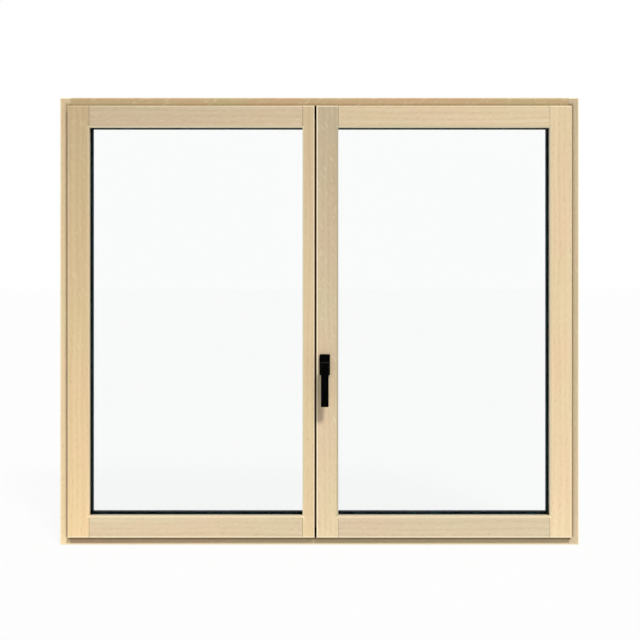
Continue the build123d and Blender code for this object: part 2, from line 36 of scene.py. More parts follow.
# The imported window, in metres. -Y is indoors, +Y outdoors and +Z up.
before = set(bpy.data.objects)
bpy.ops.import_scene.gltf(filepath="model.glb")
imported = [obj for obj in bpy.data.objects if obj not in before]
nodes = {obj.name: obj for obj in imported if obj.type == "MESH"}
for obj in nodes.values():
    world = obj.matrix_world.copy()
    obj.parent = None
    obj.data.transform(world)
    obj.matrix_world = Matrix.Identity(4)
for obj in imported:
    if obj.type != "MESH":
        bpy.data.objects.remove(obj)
frame_low, frame_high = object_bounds()
jamb_low, jamb_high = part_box("frame_right_jamb")
frame_face_y = jamb_low.y
window_top = jamb_high.z
sash_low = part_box("left_sash_outer_stile")[0]
sash_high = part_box("right_sash_outer_stile")[1]
gap_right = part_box("right_sash_meeting_stile")[0].x
sash_face_y = sash_low.y
joint_lines = (
    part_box("left_sash_outer_stile")[1].x,
    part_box("left_sash_meeting_stile")[0].x,
    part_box("right_sash_meeting_stile")[1].x,
    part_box("right_sash_outer_stile")[0].x,
)

IMAGE_SIZE = 640

# Widths and fades, in metres, of what the oak's colour marks: the gap between the sashes, the painted
# highlights along rims, the start of the painted shade under the sashes and the grooves at the joints
GAP_WIDTH = 0.0055
GAP_FADE = 0.0007
RIM_WIDTH = 0.0035
RIM_FADE = 0.0012
UNDER_START = 0.001
GROOVE_REACH = 0.0005
GROOVE_DEPTH = 0.0009
GROOVE_FADE = 0.0001
GROOVE_MOUTH = 0.00002
GROOVE_DARK_FROM = 0.0003

# Display colours of the grain. The first two are of the rings' dark and pale wood.
LATE_WOOD = (0.955, 0.935, 0.90)
EARLY_WOOD = (1.0, 0.97, 0.90)
WARM_PATCH = (1.0, 0.93, 0.90)
GREEN_PATCH = (0.955, 0.985, 0.90)
RAY_FLECK = (0.97, 0.92, 0.82)
PORE = (0.60, 0.49, 0.36)

# Display colours of the oak's painted highlights at its edges and rims and of its painted shade, and of dust
EDGE_HIGHLIGHT = (1.0, 0.95, 0.80)
RIM_HIGHLIGHT = (1.0, 0.95, 0.84)
SHADED_BEVEL = (0.50, 0.46, 0.38)
FRAME_SHADE = (0.42, 0.33, 0.12)
JOINT_SHADE = (0.16, 0.10, 0.05)
GAP_SHADE = (0.42, 0.25, 0.08)
DUST = (0.62, 0.59, 0.54)

# Name, place, turn and size of each dark card that the glass and the coats mirror
CARDS = (
    ("studio_card_back", (0.0, -5.5, 4.0), math.pi / 2, (30.0, 8.0, 1.0)),
    ("studio_card_low", (0.0, -2.9, 0.001), 0.0, (30.0, 5.2, 1.0)),
)
FLOOR_SIZE = 40.0
KEY_DISTANCE = 3.0

UPRIGHT = "upright"
LEVEL = "level"


class Board(NamedTuple):
    """Look of one board. A standing board starts at the bottom, and a lying one at the left.

    Start and end are how light the board is there. Besides each board's own tone they hold painted light:
    every standing board is painted lighter towards the bottom. Warmth moves its tone to red. The rest are
    amounts: of ray flecks and colour patches, of painted highlight on the edges, of painted shade on the
    frame beside the sashes, of painted shade on a bevel and of painted highlight along the rims at the
    sashes' gap and at the frame's outer edges.
    """

    way: str
    start: float
    end: float
    warmth: float = 0.0
    rays: float = 0.3
    patches: float = 0.3
    edge: float = 0.25
    corner: float = 0.0
    bevel_shade: float = 0.0
    gap_highlight: float = 0.0
    outer_highlight: float = 0.0


# Start and end hold painted light as well as each board's tone: standing boards are lighter towards the
# bottom.
BOARDS = {
    "frame_left_jamb": Board(UPRIGHT, 1.075, 0.955, 0.012, edge=0.9, corner=1.0, outer_highlight=0.35),
    "frame_right_jamb": Board(UPRIGHT, 0.935, 0.905, -0.005, edge=0.8, corner=1.4, outer_highlight=0.35),
    "frame_head": Board(LEVEL, 0.865, 0.885, 0.03, rays=0.5, patches=0.8, edge=0.15, corner=0.6),
    "frame_sill": Board(LEVEL, 0.93, 0.935, -0.01, patches=0.8, edge=1.0, outer_highlight=0.6),
    "left_sash_outer_stile": Board(UPRIGHT, 1.055, 0.85, 0.035),
    "left_sash_meeting_stile": Board(UPRIGHT, 1.035, 0.92, 0.015, rays=0.15, edge=0.7, gap_highlight=0.1),
    "left_sash_top_rail": Board(LEVEL, 0.90, 0.945, 0.0),
    "left_sash_bottom_rail": Board(LEVEL, 1.005, 0.99, -0.005, edge=0.12),
    "right_sash_meeting_stile": Board(
        UPRIGHT, 1.05, 0.855, 0.0, rays=0.45, edge=0.7, bevel_shade=0.6, gap_highlight=0.6
    ),
    "right_sash_outer_stile": Board(UPRIGHT, 1.078, 1.015, 0.008, edge=0.6),
    "right_sash_top_rail": Board(LEVEL, 0.965, 1.01, 0.005),
    "right_sash_bottom_rail": Board(LEVEL, 0.975, 0.993, -0.01, edge=0.12),
}
SIDES = ("left", "top", "right", "bottom")
SASHES = ("left_sash", "right_sash")


def srgb(colour):
    """Scene-linear colour, with alpha, of a display colour."""
    linear = [c / 12.92 if c <= 0.04045 else ((c + 0.055) / 1.055) ** 2.4 for c in colour]
    return (*linear, 1.0)


class NodeWriter:
    """Adds nodes to a shader tree and joins them."""

    def __init__(self, tree):
        self.tree = tree

    def add(self, kind, values=None, **settings):
        node = self.tree.nodes.new(kind)
        for name, value in settings.items():
            setattr(node, name, value)
        for socket, value in (values or {}).items():
            self.feed(node.inputs[socket], value)
        return node

    def feed(self, socket, value):
        if isinstance(value, bpy.types.NodeSocket):
            self.tree.links.new(value, socket)
        else:
            socket.default_value = value

    def math(self, operation, first, second=0.0):
        node = self.add("ShaderNodeMath", {0: first, 1: second}, operation=operation)
        return node.outputs[0]

    def vector(self, operation, first, second):
        node = self.add("ShaderNodeVectorMath", {0: first, 1: second}, operation=operation)
        return node.outputs[0]

    def span(self, value, low, high, to_low=0.0, to_high=1.0):
        values = {"Value": value, "From Min": low, "From Max": high, "To Min": to_low, "To Max": to_high}
        return self.add("ShaderNodeMapRange", values).outputs["Result"]

    def fade(self, value, start, length):
        """One up to a start, and from there down to zero over a length."""
        return self.span(value, start, start + length, 1.0, 0.0)

    def mix(self, factor, first, second, blend_type="MIX"):
        values = {0: factor, 6: first, 7: second}
        node = self.add("ShaderNodeMix", values, data_type="RGBA", blend_type=blend_type)
        return node.outputs[2]

    def towards(self, colour, mask, amount, target):
        """Colour that goes towards a display colour where the mask is, by an amount."""
        return self.mix(self.math("MULTIPLY", mask, amount), colour, srgb(target))

    def noise(self, vector, scale, detail=2.0, roughness=0.5):
        values = {"Vector": vector, "Scale": scale, "Detail": detail, "Roughness": roughness}
        return self.add("ShaderNodeTexNoise", values).outputs[0]

    def group(self, name, values):
        node = self.tree.nodes.new("ShaderNodeGroup")
        node.node_tree = bpy.data.node_groups[name]
        for socket, value in values.items():
            self.feed(node.inputs[socket], value)
        return node


SOCKETS = {"value": "NodeSocketFloat", "colour": "NodeSocketColor", "vector": "NodeSocketVector"}


def new_group(name, inputs, outputs):
    """Shader node group with named sockets, and its input and output nodes."""
    tree = bpy.data.node_groups.new(name, "ShaderNodeTree")
    for label, kind in inputs:
        tree.interface.new_socket(name=label, in_out="INPUT", socket_type=SOCKETS[kind])
    for label, kind in outputs:
        tree.interface.new_socket(name=label, in_out="OUTPUT", socket_type=SOCKETS[kind])
    writer = NodeWriter(tree)
    return writer, writer.add("NodeGroupInput").outputs, writer.add("NodeGroupOutput").inputs


def oak_grain_group():
    """Oak with its grain along Z: growth rings, streaks, open pores and pale ray flecks."""
    writer, given, result = new_group(
        "Oak grain",
        [
            ("Vector", "vector"),
            ("Seed", "value"),
            ("Tone", "colour"),
            ("Ring Contrast", "value"),
            ("Ray Figure", "value"),
            ("Patches", "value"),
            ("Pore Depth", "value"),
        ],
        [("Colour", "colour"), ("Height", "value"), ("Roughness", "value")],
    )
    # Each seed moves the pattern to another place, so no two boards share their grain.
    values = {0: (3.71, 2.93, 1.37), "Scale": given["Seed"]}
    shift = writer.add("ShaderNodeVectorMath", values, operation="SCALE").outputs[0]
    place = writer.vector("ADD", given["Vector"], shift)

    # The grain wanders by a few millimetres along the board.
    slow = writer.vector("MULTIPLY", place, (1.0, 1.0, 0.25))
    wander = writer.add("ShaderNodeTexNoise", {"Vector": slow, "Scale": 9.0, "Detail": 1.0})
    sway = writer.vector("SUBTRACT", wander.outputs["Color"], (0.5, 0.5, 0.5))
    sway = writer.vector("MULTIPLY", sway, (0.022, 0.022, 0.0))
    grain = writer.vector("ADD", place, sway)

    # Growth rings lie round a pith beside the board, so their lines spread where the face runs along them.
    pith = writer.vector("MULTIPLY", grain, (1.0, 1.0, 0.035))
    ring_values = {"Vector": pith, "Scale": 24.0, "Distortion": 2.2, "Detail": 2.0, "Detail Scale": 1.4}
    rings = writer.add("ShaderNodeTexWave", ring_values, wave_type="RINGS", rings_direction="Z")
    ring = writer.math("POWER", rings.outputs["Fac"], 1.6)

    stretched = writer.vector("MULTIPLY", grain, (1.0, 1.0, 0.02))
    streak = writer.noise(stretched, scale=95.0, detail=5.0, roughness=0.62)
    broad = writer.noise(writer.vector("MULTIPLY", grain, (1.0, 1.0, 0.05)), scale=22.0)
    hue = writer.noise(writer.vector("MULTIPLY", place, (1.0, 1.0, 0.35)), scale=14.0)

    # Pores are short open dashes along the grain, and each ring has a band where they show most.
    pore_place = writer.vector("MULTIPLY", grain, (1.0, 1.0, 0.07))
    pore_values = {"Vector": pore_place, "Scale": 620.0, "Randomness": 1.0}
    pore = writer.add("ShaderNodeTexVoronoi", pore_values).outputs["Distance"]
    pore = writer.span(pore, 0.16, 0.36, 1.0, 0.0)
    pore = writer.math("MULTIPLY", pore, writer.span(ring, 0.15, 0.8, 0.25, 1.0))

    # Ray flecks are pale and silky, and lie a little aslant over the grain.
    slant = writer.add("ShaderNodeMapping", {"Vector": grain, "Rotation": (0.0, 0.42, 0.0)})
    fleck_place = writer.vector("MULTIPLY", slant.outputs[0], (1.0, 0.35, 0.28))
    fleck = writer.noise(fleck_place, scale=165.0, detail=3.0, roughness=0.55)
    fleck = writer.span(fleck, 0.56, 0.68)
    fleck = writer.math("MULTIPLY", fleck, given["Ray Figure"])

    dark = writer.mix(1.0, given["Tone"], srgb(LATE_WOOD), "MULTIPLY")
    pale = writer.mix(0.07, given["Tone"], srgb(EARLY_WOOD))
    depth = writer.math("ADD", writer.math("MULTIPLY", streak, 0.9), writer.math("MULTIPLY", broad, 0.55))
    depth = writer.math("ADD", depth, writer.math("MULTIPLY", ring, given["Ring Contrast"]))
    colour = writer.mix(writer.span(depth, 0.45, 1.25), pale, dark)
    warm = writer.mix(given["Patches"], colour, srgb(WARM_PATCH), "MULTIPLY")
    green = writer.mix(given["Patches"], colour, srgb(GREEN_PATCH), "MULTIPLY")
    colour = writer.mix(writer.span(hue, 0.33, 0.67), warm, green)
    colour = writer.mix(writer.math("MULTIPLY", fleck, 0.4), colour, srgb(RAY_FLECK))
    pore_share = writer.math("MULTIPLY", pore, 0.42)
    colour = writer.mix(pore_share, colour, srgb(PORE))
    writer.feed(result["Colour"], colour)

    height = writer.math("MULTIPLY", streak, 0.35)
    sunk = writer.math("MULTIPLY", pore, given["Pore Depth"])
    writer.feed(result["Height"], writer.math("SUBTRACT", height, sunk))
    rough = writer.span(streak, 0.3, 0.7, 0.44, 0.56)
    silky = writer.math("MULTIPLY", fleck, 0.08)
    writer.feed(result["Roughness"], writer.math("SUBTRACT", rough, silky))


def edge_mask_group():
    """Mask of the rounded and bevelled edges, and how far a face looks down or right."""
    outputs = [("Mask", "value"), ("Downward", "value"), ("Rightward", "value")]
    writer, given, result = new_group("Edge mask", [("Normal", "vector")], outputs)
    parts = writer.add("ShaderNodeSeparateXYZ", {0: given["Normal"]}).outputs
    size = [writer.math("ABSOLUTE", parts[axis]) for axis in range(3)]
    largest = writer.math("MAXIMUM", writer.math("MAXIMUM", size[0], size[1]), size[2])
    writer.feed(result["Mask"], writer.span(largest, 0.985, 0.9))
    writer.feed(result["Downward"], writer.math("MAXIMUM", writer.math("MULTIPLY", parts[2], -1.0), 0.0))
    writer.feed(result["Rightward"], writer.math("MAXIMUM", parts[0], 0.0))


def shade_round_sashes(writer, place, reach):
    """Masks of the shade on the frame beside and above the sashes, and of the shade under them."""
    left = writer.math("SUBTRACT", sash_low.x, place[0])
    right = writer.math("SUBTRACT", place[0], sash_high.x)
    below = writer.math("SUBTRACT", sash_low.z, place[2])
    above = writer.math("SUBTRACT", place[2], sash_high.z)
    beside = writer.math("MAXIMUM", left, right)
    apart = writer.math("MAXIMUM", beside, above)

    # The shade beside the sashes stops under them, and the shade under them stops beside them.
    near = writer.fade(writer.math("DIVIDE", apart, reach), 0.0, 1.0)
    near = writer.math("MULTIPLY", near, writer.fade(below, 0.0, RIM_WIDTH))
    corner = writer.math("POWER", near, 1.6)
    near = writer.fade(writer.math("DIVIDE", below, reach), 0.0, 1.0)
    near = writer.math("MULTIPLY", near, writer.fade(beside, 0.0, RIM_WIDTH))
    near = writer.math("MULTIPLY", near, writer.span(below, -UNDER_START, 0.0))
    return {"Corner": corner, "Under": writer.math("POWER", near, 1.2)}


def gap_and_highlights(writer, place):
    """Masks of the gap where the sashes meet, and of the painted highlights along the rims there and at the
    lower and outer edges.
    """
    from_left = writer.math("SUBTRACT", place[0], frame_low.x)
    from_right = writer.math("SUBTRACT", frame_high.x, place[0])
    from_edge = writer.math("MINIMUM", writer.math("MINIMUM", from_left, from_right), place[2])
    middle = gap_right - GAP_WIDTH / 2
    aside = writer.math("ABSOLUTE", writer.math("SUBTRACT", place[0], middle))
    return {
        "Outer Highlight": writer.fade(from_edge, RIM_WIDTH, RIM_FADE),
        "Gap": writer.fade(aside, GAP_WIDTH / 2, GAP_FADE),
        "Rim": writer.fade(aside, GAP_WIDTH / 2 + RIM_WIDTH, RIM_FADE),
        "Lower Highlight": writer.fade(place[2], sash_low.z + RIM_WIDTH, RIM_FADE),
    }


def joint_mask(writer, place):
    """Mask of the grooves where the rails of the sashes meet the stiles."""
    near = 1.0
    for line in joint_lines:
        aside = writer.math("ABSOLUTE", writer.math("SUBTRACT", place[0], line))
        near = writer.math("MINIMUM", near, aside)
    sunk = writer.math("SUBTRACT", place[1], sash_face_y)
    inside = writer.span(sunk, GROOVE_MOUTH, GROOVE_DARK_FROM)
    inside = writer.math("MULTIPLY", inside, writer.fade(sunk, GROOVE_DEPTH, GROOVE_FADE))
    return writer.math("MULTIPLY", writer.fade(near, GROOVE_REACH, GROOVE_FADE), inside)


def corner_shade_group():
    """Masks of the shade round the sashes and at their gap and joints, and of the painted highlights along
    rims.
    """
    outputs = ("Corner", "Under", "Outer Highlight", "Gap", "Rim", "Lower Highlight", "Joint")
    writer, given, result = new_group(
        "Corner shade",
        [("Vector", "vector"), ("Reach", "value")],
        [(label, "value") for label in outputs],
    )
    place = writer.add("ShaderNodeSeparateXYZ", {0: given["Vector"]}).outputs
    masks = shade_round_sashes(writer, place, given["Reach"]) | gap_and_highlights(writer, place)
    masks["Joint"] = joint_mask(writer, place)
    for label in outputs:
        writer.feed(result[label], masks[label])


def dust_group():
    """Thin patches of dust, thicker on faces that look up."""
    writer, given, result = new_group(
        "Settled dust",
        [("Vector", "vector"), ("Normal", "vector"), ("Amount", "value")],
        [("Mask", "value")],
    )
    up = writer.add("ShaderNodeSeparateXYZ", {0: given["Normal"]}).outputs[2]
    cloud = writer.noise(given["Vector"], scale=16.0, detail=5.0, roughness=0.6)
    speck = writer.noise(given["Vector"], scale=420.0, roughness=0.6)
    patch = writer.span(writer.math("ADD", cloud, writer.math("MULTIPLY", speck, 0.35)), 0.5, 0.95)
    lying = writer.span(up, -0.2, 1.0, 0.35, 1.0)
    mask = writer.math("MULTIPLY", writer.math("MULTIPLY", patch, lying), given["Amount"])
    writer.feed(result["Mask"], mask)


def fine_skin_group():
    """Orange peel of a baked or moulded surface, with a faint mottle."""
    writer, given, result = new_group(
        "Fine skin",
        [("Vector", "vector"), ("Grain", "value"), ("Spread", "value"), ("Base Roughness", "value")],
        [("Height", "value"), ("Mottle", "value"), ("Roughness", "value")],
    )
    fine = writer.noise(given["Vector"], scale=given["Grain"], detail=3.0)
    broad = writer.noise(given["Vector"], scale=9.0, detail=3.0)
    writer.feed(result["Height"], fine)
    writer.feed(result["Mottle"], writer.span(broad, 0.3, 0.7, -1.0, 1.0))
    uneven = writer.math("MULTIPLY", writer.span(fine, 0.3, 0.7, -0.5, 0.5), given["Spread"])
    writer.feed(result["Roughness"], writer.math("ADD", given["Base Roughness"], uneven))


def empty_material(name):
    """Material with an empty tree, and its writer."""
    material = bpy.data.materials.new(name)
    material.use_nodes = True
    material.node_tree.nodes.clear()
    return material, NodeWriter(material.node_tree)


def new_material(name):
    """Material, its writer, the inputs of the Principled shader it ends in and its coordinates."""
    material, writer = empty_material(name)
    shader = writer.add("ShaderNodeBsdfPrincipled")
    writer.add("ShaderNodeOutputMaterial", {"Surface": shader.outputs[0]})
    place = writer.add("ShaderNodeTexCoord").outputs
    return material, writer, shader.inputs, place


def oak_tone(look, light, warmth):
    """Tone of oak at a lightness, with more red and less blue where it is warm."""
    red, green, blue = look.tone
    return srgb((red * light * (1.0 + warmth), green * light, blue * light * (1.0 - 2.0 * warmth)))


def board_grain(writer, look, place, name, seed):
    """Outputs of the grain on a board, which runs along it and goes from its start tone to its end tone;
    these tones hold painted light as well as the board's own tone.
    """
    board = BOARDS[name]
    level = board.way == LEVEL
    turn = (0.0, math.pi / 2 if level else 0.0, 0.0)
    grain_place = writer.add("ShaderNodeMapping", {"Vector": place, "Rotation": turn}).outputs[0]
    axis = 0 if level else 2
    low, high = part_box(name)
    parts = writer.add("ShaderNodeSeparateXYZ", {0: place}).outputs
    along = writer.span(parts[axis], low[axis], high[axis])
    start_tone = oak_tone(look, board.start, board.warmth)
    end_tone = oak_tone(look, board.end, board.warmth)
    values = {
        "Vector": grain_place,
        "Seed": seed,
        "Tone": writer.mix(along, start_tone, end_tone),
        "Ring Contrast": look.ring_contrast,
        "Ray Figure": board.rays,
        "Patches": board.patches,
        "Pore Depth": look.pore_depth,
    }
    return writer.group("Oak grain", values).outputs


def with_edges(writer, look, normal, board, colour):
    """Colour of a board with painted highlight on its edges, more on those that look down, and, where it has
    one, painted shade on a bevel that faces right.
    """
    edge = writer.group("Edge mask", {"Normal": normal}).outputs
    # Painted highlight on the edges, paler on those that look down.
    lit = writer.span(edge["Downward"], 0.0, 0.7, board.edge, look.under_highlight)
    colour = writer.towards(colour, edge["Mask"], lit, EDGE_HIGHLIGHT)
    # Painted shade on the edges that face right, on the board that has this bevel.
    if board.bevel_shade:
        bevel_darkening = writer.span(edge["Rightward"], 0.1, 0.5, 0.0, board.bevel_shade)
        colour = writer.towards(colour, edge["Mask"], bevel_darkening, SHADED_BEVEL)
    return colour


def with_shade(writer, look, place, name, colour):
    """Colour of a board with its painted highlights along rims and its painted shade, which differ on the
    frame and the sashes.
    """
    board = BOARDS[name]
    shade = writer.group("Corner shade", {"Vector": place, "Reach": look.shade_reach}).outputs
    if name.startswith("frame"):
        # Painted highlight along the frame's outer edges.
        colour = writer.towards(colour, shade["Outer Highlight"], board.outer_highlight, EDGE_HIGHLIGHT)
        corner = writer.math("MULTIPLY", shade["Corner"], board.corner)
        under = writer.math("MULTIPLY", shade["Under"], look.under_shade)
        return writer.mix(writer.math("MAXIMUM", corner, under), colour, srgb(FRAME_SHADE))
    # Painted highlight along the bottom of the sashes.
    colour = writer.towards(colour, shade["Lower Highlight"], look.lower_highlight, RIM_HIGHLIGHT)
    colour = writer.towards(colour, shade["Joint"], look.joint_shade, JOINT_SHADE)
    if name.endswith("meeting_stile"):
        # Painted highlight beside the gap between the sashes.
        colour = writer.towards(colour, shade["Rim"], board.gap_highlight, RIM_HIGHLIGHT)
        colour = writer.towards(colour, shade["Gap"], look.gap_shade, GAP_SHADE)
    return colour


def oak_material(name, seed):
    """Oiled oak of one board, with the grain along the board, painted highlight on its edges and painted
    shade and highlights round the sashes.
    """
    look = bpy.context.scene.window_oak
    material, writer, shader, place = new_material(f"Oak {name}")
    grain = board_grain(writer, look, place["Object"], name, seed)
    colour = with_edges(writer, look, place["Normal"], BOARDS[name], grain["Colour"])
    colour = with_shade(writer, look, place["Object"], name, colour)
    writer.feed(shader["Base Color"], colour)
    writer.feed(shader["Roughness"], grain["Roughness"])
    bump = writer.add("ShaderNodeBump", {"Height": grain["Height"], "Strength": 0.35, "Distance": 0.0004})
    writer.feed(shader["Normal"], bump.outputs[0])
    return material


def skin_material(name, colour, roughness, grain, depth, dust=0.1, metallic=0.0, gloss=0.5, wear=0.10):
    """Coated, moulded or plated surface with orange peel, mottle, edge wear and dust."""
    material, writer, shader, place = new_material(name)
    skin = writer.group(
        "Fine skin",
        {"Vector": place["Object"], "Grain": grain, "Spread": 0.12, "Base Roughness": roughness},
    ).outputs
    base = srgb(colour)
    paler = srgb([c + (1.0 - c) * wear for c in colour])
    tone = writer.mix(writer.span(skin["Mottle"], -1.0, 1.0, 0.0, 0.35), base, paler)
    edge = writer.group("Edge mask", {"Normal": place["Normal"]}).outputs["Mask"]
    tone = writer.mix(writer.math("MULTIPLY", edge, 0.35), tone, paler)
    dust_values = {"Vector": place["Object"], "Normal": place["Normal"], "Amount": dust}
    mask = writer.group("Settled dust", dust_values).outputs["Mask"]
    writer.feed(shader["Base Color"], writer.mix(mask, tone, srgb(DUST)))
    writer.feed(shader["Roughness"], skin["Roughness"])
    shader["Metallic"].default_value = metallic
    shader["Specular IOR Level"].default_value = gloss
    bump = writer.add("ShaderNodeBump", {"Height": skin["Height"], "Strength": 0.3, "Distance": depth})
    writer.feed(shader["Normal"], bump.outputs[0])
    return material


def glass_material():
    """Clear float glass, faintly green, with the slight waviness of toughened panes."""
    look = bpy.context.scene.window_glass
    material, writer, shader, place = new_material("Float glass")
    shader["Base Color"].default_value = (*look.tint, 1.0)
    shader["Roughness"].default_value = 0.0
    shader["IOR"].default_value = look.refraction
    shader["Transmission Weight"].default_value = 1.0
    stretched = writer.vector("MULTIPLY", place["Object"], (1.0, 1.0, 2.2))
    wave = writer.noise(stretched, scale=3.0, detail=1.0)
    bump = writer.add("ShaderNodeBump", {"Height": wave, "Strength": 0.02, "Distance": 0.002})
    writer.feed(shader["Normal"], bump.outputs[0])
    return material


def dress(names, material):
    """Give CAD nodes a material, in every slot that they have or in a new one."""
    for name in names:
        node = nodes[name]
        if not node.material_slots:
            node.data.materials.append(material)
        for place in node.material_slots:
            place.material = material


class OakSettings(bpy.types.PropertyGroup):
    """Look of the oak boards."""

    tone: FloatVectorProperty(
        name="Oak Tone",
        description="Display colour of a middling board",
        subtype="COLOR",
        size=3,
        default=(0.838, 0.765, 0.645),
        min=0.0,
        max=1.0,
    )
    ring_contrast: FloatProperty(
        name="Ring Contrast", description="How much the growth rings darken", default=0.14, min=0.0, max=1.0
    )
    pore_depth: FloatProperty(
        name="Pore Depth", description="How deep the open pores are", default=0.8, min=0.0, max=2.0
    )
    # Painted highlight on the edges that look down.
    under_highlight: FloatProperty(
        name="Under Highlight",
        description="How pale the edges that look down are",
        default=1.0,
        min=0.0,
        max=1.0,
    )
    gap_shade: FloatProperty(
        name="Gap Shade",
        description="How dark the faces are where the sashes meet",
        default=0.88,
        min=0.0,
        max=1.0,
    )
    # Painted highlight along the bottom of the sashes.
    lower_highlight: FloatProperty(
        name="Lower Highlight",
        description="How pale the sashes are along their bottom",
        default=0.5,
        min=0.0,
        max=1.0,
    )
    under_shade: FloatProperty(
        name="Under Shade",
        description="How dark the frame is under the sashes",
        default=1.5,
        min=0.0,
        max=3.0,
    )
    joint_shade: FloatProperty(
        name="Joint Shade",
        description="How dark the grooves at the joints are",
        default=0.9,
        min=0.0,
        max=1.0,
    )
    shade_reach: FloatProperty(
        name="Shade Reach",
        description="How far the frame is darker beside the sashes",
        default=0.013,
        unit="LENGTH",
    )


class CoverSettings(bpy.types.PropertyGroup):
    """Look of the aluminium covers."""

    colour: FloatVectorProperty(
        name="Coat Colour",
        description="Display colour of the powder coat",
        subtype="COLOR",
        size=3,
        default=(0.165, 0.25, 0.28),
        min=0.0,
        max=1.0,
    )
    roughness: FloatProperty(
        name="Roughness", description="Roughness of the powder coat", default=0.52, min=0.0, max=1.0
    )


class GlassSettings(bpy.types.PropertyGroup):
    """Look of the panes."""

    tint: FloatVectorProperty(
        name="Tint",
        description="Colour of the glass",
        subtype="COLOR",
        size=3,
        default=(0.996, 1.0, 0.998),
        min=0.0,
        max=1.0,
    )
    refraction: FloatProperty(
        name="Refraction", description="Index of refraction of the glass", default=1.17, min=1.0, max=2.0
    )


class HandleSettings(bpy.types.PropertyGroup):
    """Look of the handle."""

    colour: FloatVectorProperty(
        name="Handle Colour",
        description="Display colour of the handle's coat",
        subtype="COLOR",
        size=3,
        default=(0.008, 0.009, 0.010),
        min=0.0,
        max=1.0,
    )
    roughness: FloatProperty(
        name="Roughness", description="Roughness of the handle's coat", default=0.34, min=0.0, max=1.0
    )


class StageSettings(bpy.types.PropertyGroup):
    """Studio light and camera."""

    key_strength: FloatProperty(
        name="Key Strength", description="Strength of the key light", default=2.62, min=0.0, max=10.0
    )
    fill_strength: FloatProperty(
        name="Fill Strength", description="Strength of the light all round", default=0.42, min=0.0, max=2.0
    )
    key_angle: FloatProperty(
        name="Key Size",
        description="Angle that the key light covers, which sets how soft its shadows are",
        default=math.radians(11.0),
        unit="ROTATION",
    )
    eye_height: FloatProperty(
        name="Eye Height", description="Camera height over the sill", default=0.893, unit="LENGTH"
    )
    eye_distance: FloatProperty(
        name="Eye Distance",
        description="Camera distance from the frame's face",
        default=4.15,
        unit="LENGTH",
    )
    eye_side: FloatProperty(
        name="Eye Side",
        description="Camera place right of the window's middle",
        default=0.007,
        unit="LENGTH",
    )
    pixel_size: FloatProperty(
        name="Pixel Size",
        description="Size of one picture element on the frame's face",
        default=0.00289,
        precision=5,
        unit="LENGTH",
    )


class WINDOW_OT_effects(bpy.types.Operator):
    """Make the surface effects that the materials share"""

    bl_idname = "window.effects"
    bl_label = "Surface Effects"

    def execute(self, context):
        oak_grain_group()
        edge_mask_group()
        corner_shade_group()
        dust_group()
        fine_skin_group()
        return {"FINISHED"}


class WINDOW_OT_oak(bpy.types.Operator):
    """Finish the frame and the sashes in oak, each board with its own grain"""

    bl_idname = "window.oak"
    bl_label = "Oak Boards"

    def execute(self, context):
        for index, name in enumerate(BOARDS):
            dress([name], oak_material(name, 1.0 + index))
        return {"FINISHED"}


class WINDOW_OT_covers(bpy.types.Operator):
    """Finish the outdoor covers in powder-coated aluminium"""

    bl_idname = "window.covers"
    bl_label = "Aluminium Covers"

    def execute(self, context):
        look = context.scene.window_covers
        coat = skin_material(
            "Powder coat", look.colour, look.roughness, grain=900.0, depth=0.0003, gloss=0.06
        )
        names = [f"frame_cover_{side}" for side in SIDES]
        names += [f"{sash}_cover_{side}" for sash in SASHES for side in SIDES]
        dress(names, coat)
        return {"FINISHED"}


class WINDOW_OT_glazing(bpy.types.Operator):
    """Finish the panes, their spacers and their seals"""

    bl_idname = "window.glazing"
    bl_label = "Glazing"

    def execute(self, context):
        panes = [f"{sash}_{pane}_pane" for sash in SASHES for pane in ("inner", "middle", "outer")]
        dress(panes, glass_material())
        matt = {"roughness": 0.8, "depth": 0.0002, "dust": 0.0, "gloss": 0.0, "wear": 0.03}
        spacer = skin_material("Spacer", (0.09, 0.18, 0.20), grain=1500.0, **matt)
        dress([f"{sash}_spacers" for sash in SASHES], spacer)
        rubber = skin_material(
            "Rubber", (0.045, 0.042, 0.04), roughness=0.8, grain=1100.0, depth=0.0003, dust=0.02, gloss=0.02
        )
        dress(["overlap_seals", "middle_seals"], rubber)
        glazing_rubber = skin_material("Glazing rubber", (0.03, 0.09, 0.10), grain=1100.0, **matt)
        seals = [f"{sash}_{side}_glazing_seal" for sash in SASHES for side in ("inner", "outer")]
        dress(seals, glazing_rubber)
        return {"FINISHED"}


class WINDOW_OT_hardware(bpy.types.Operator):
    """Finish the hinges, the lock strip, the clips, the caps and the glass blocks"""

    bl_idname = "window.hardware"
    bl_label = "Hardware"

    def execute(self, context):
        zinc = skin_material(
            "Zinc plate", (0.66, 0.66, 0.63), roughness=0.36, grain=300.0, depth=0.0001, metallic=1.0
        )
        dress(["concealed_hinges", "lock_strip"], zinc)
        plastic = skin_material(
            "Moulded plastic", (0.12, 0.125, 0.13), roughness=0.5, grain=700.0, depth=0.0002
        )
        dress(["weep_caps", "cover_clips", "glazing_blocks"], plastic)
        return {"FINISHED"}


class WINDOW_OT_handle(bpy.types.Operator):
    """Finish the handle's plate and lever in satin black"""

    bl_idname = "window.handle"
    bl_label = "Handle"

    def execute(self, context):
        look = context.scene.window_handle
        satin = {"grain": 1300.0, "depth": 0.00015, "dust": 0.0, "gloss": 0.08, "wear": 0.03}
        black = skin_material("Satin black", look.colour, look.roughness, **satin)
        dress(["handle_plate", "handle_lever"], black)
        return {"FINISHED"}


def seen_directly(writer):
    """One where a ray comes from the camera, a reflection or a pane, and zero for light that bounces."""
    path = writer.add("ShaderNodeLightPath").outputs
    seen = writer.math("MAXIMUM", path["Is Camera Ray"], path["Is Glossy Ray"])
    return writer.math("MAXIMUM", seen, path["Is Transmission Ray"])


